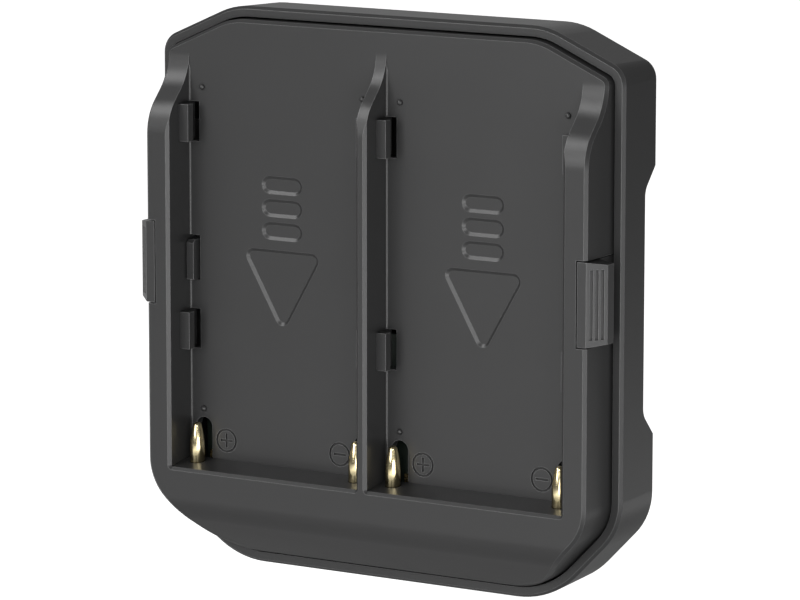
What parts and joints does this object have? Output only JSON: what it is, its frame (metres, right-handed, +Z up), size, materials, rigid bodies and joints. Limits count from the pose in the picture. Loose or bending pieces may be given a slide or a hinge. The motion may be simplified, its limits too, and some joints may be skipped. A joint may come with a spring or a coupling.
{
  "type": "battery plate",
  "caption": "Flat battery plate with open slide-in bays, guide tabs, contact pins, sprung side release latches and a rear face with threaded inserts.",
  "frame": {"origin": "centre of the flat rear mounting face, midway between the threaded inserts", "axes": "+Z up along the way the batteries leave, +Y out of the rear face, +X to the right seen from the front"},
  "size_m": [0.096, 0.0221, 0.1014],
  "materials": {
    "housing_plastic": "fine moulded grain",
    "tray_plastic": "fine moulded grain",
    "latch_plastic": "smooth satin",
    "board_laminate": "solder mask",
    "component_black": "moulded package",
    "component_ceramic": "ceramic",
    "component_can": "drawn can",
    "insulator_plastic": "moulded",
    "contact_gold": "bright plated",
    "lug_brass": "rolled strip",
    "spring_steel": "drawn wire",
    "screw_steel": "black zinc",
    "insert_brass": "turned"
  },
  "bodies": {
    "plate": {"circuit_board": "board_laminate", "front_tray": "tray_plastic", "fuse": "component_ceramic", "housing_screws": "screw_steel", "left_diode": "component_black", "left_latch_spring": "spring_steel", "left_negative_lug": "lug_brass", "left_negative_pin": "contact_gold", "left_positive_lug": "lug_brass", "left_positive_pin": "contact_gold", "mount_inserts": "insert_brass", "negative_output_contact": "contact_gold", "output_block": "insulator_plastic", "output_capacitor": "component_can", "positive_output_contact": "contact_gold", "rear_housing": "housing_plastic", "right_diode": "component_black", "right_latch_spring": "spring_steel", "right_negative_lug": "lug_brass", "right_negative_pin": "contact_gold", "right_positive_lug": "lug_brass", "right_positive_pin": "contact_gold"},
    "left_latch": {"left_latch": "latch_plastic"},
    "right_latch": {"right_latch": "latch_plastic"}
  },
  "joints": [
    {"name": "left_latch_slide", "type": "slide", "parent": "plate", "child": "left_latch", "axis": [0, 1, 0], "range_m": [0, 0.0022], "stiffness_N_per_m": 600, "springref_m": -0.003, "deforming": ["left_latch_spring"]},
    {"name": "right_latch_slide", "type": "slide", "parent": "plate", "child": "right_latch", "axis": [0, 1, 0], "range_m": [0, 0.0022], "stiffness_N_per_m": 600, "springref_m": -0.003, "deforming": ["right_latch_spring"]}
  ]
}
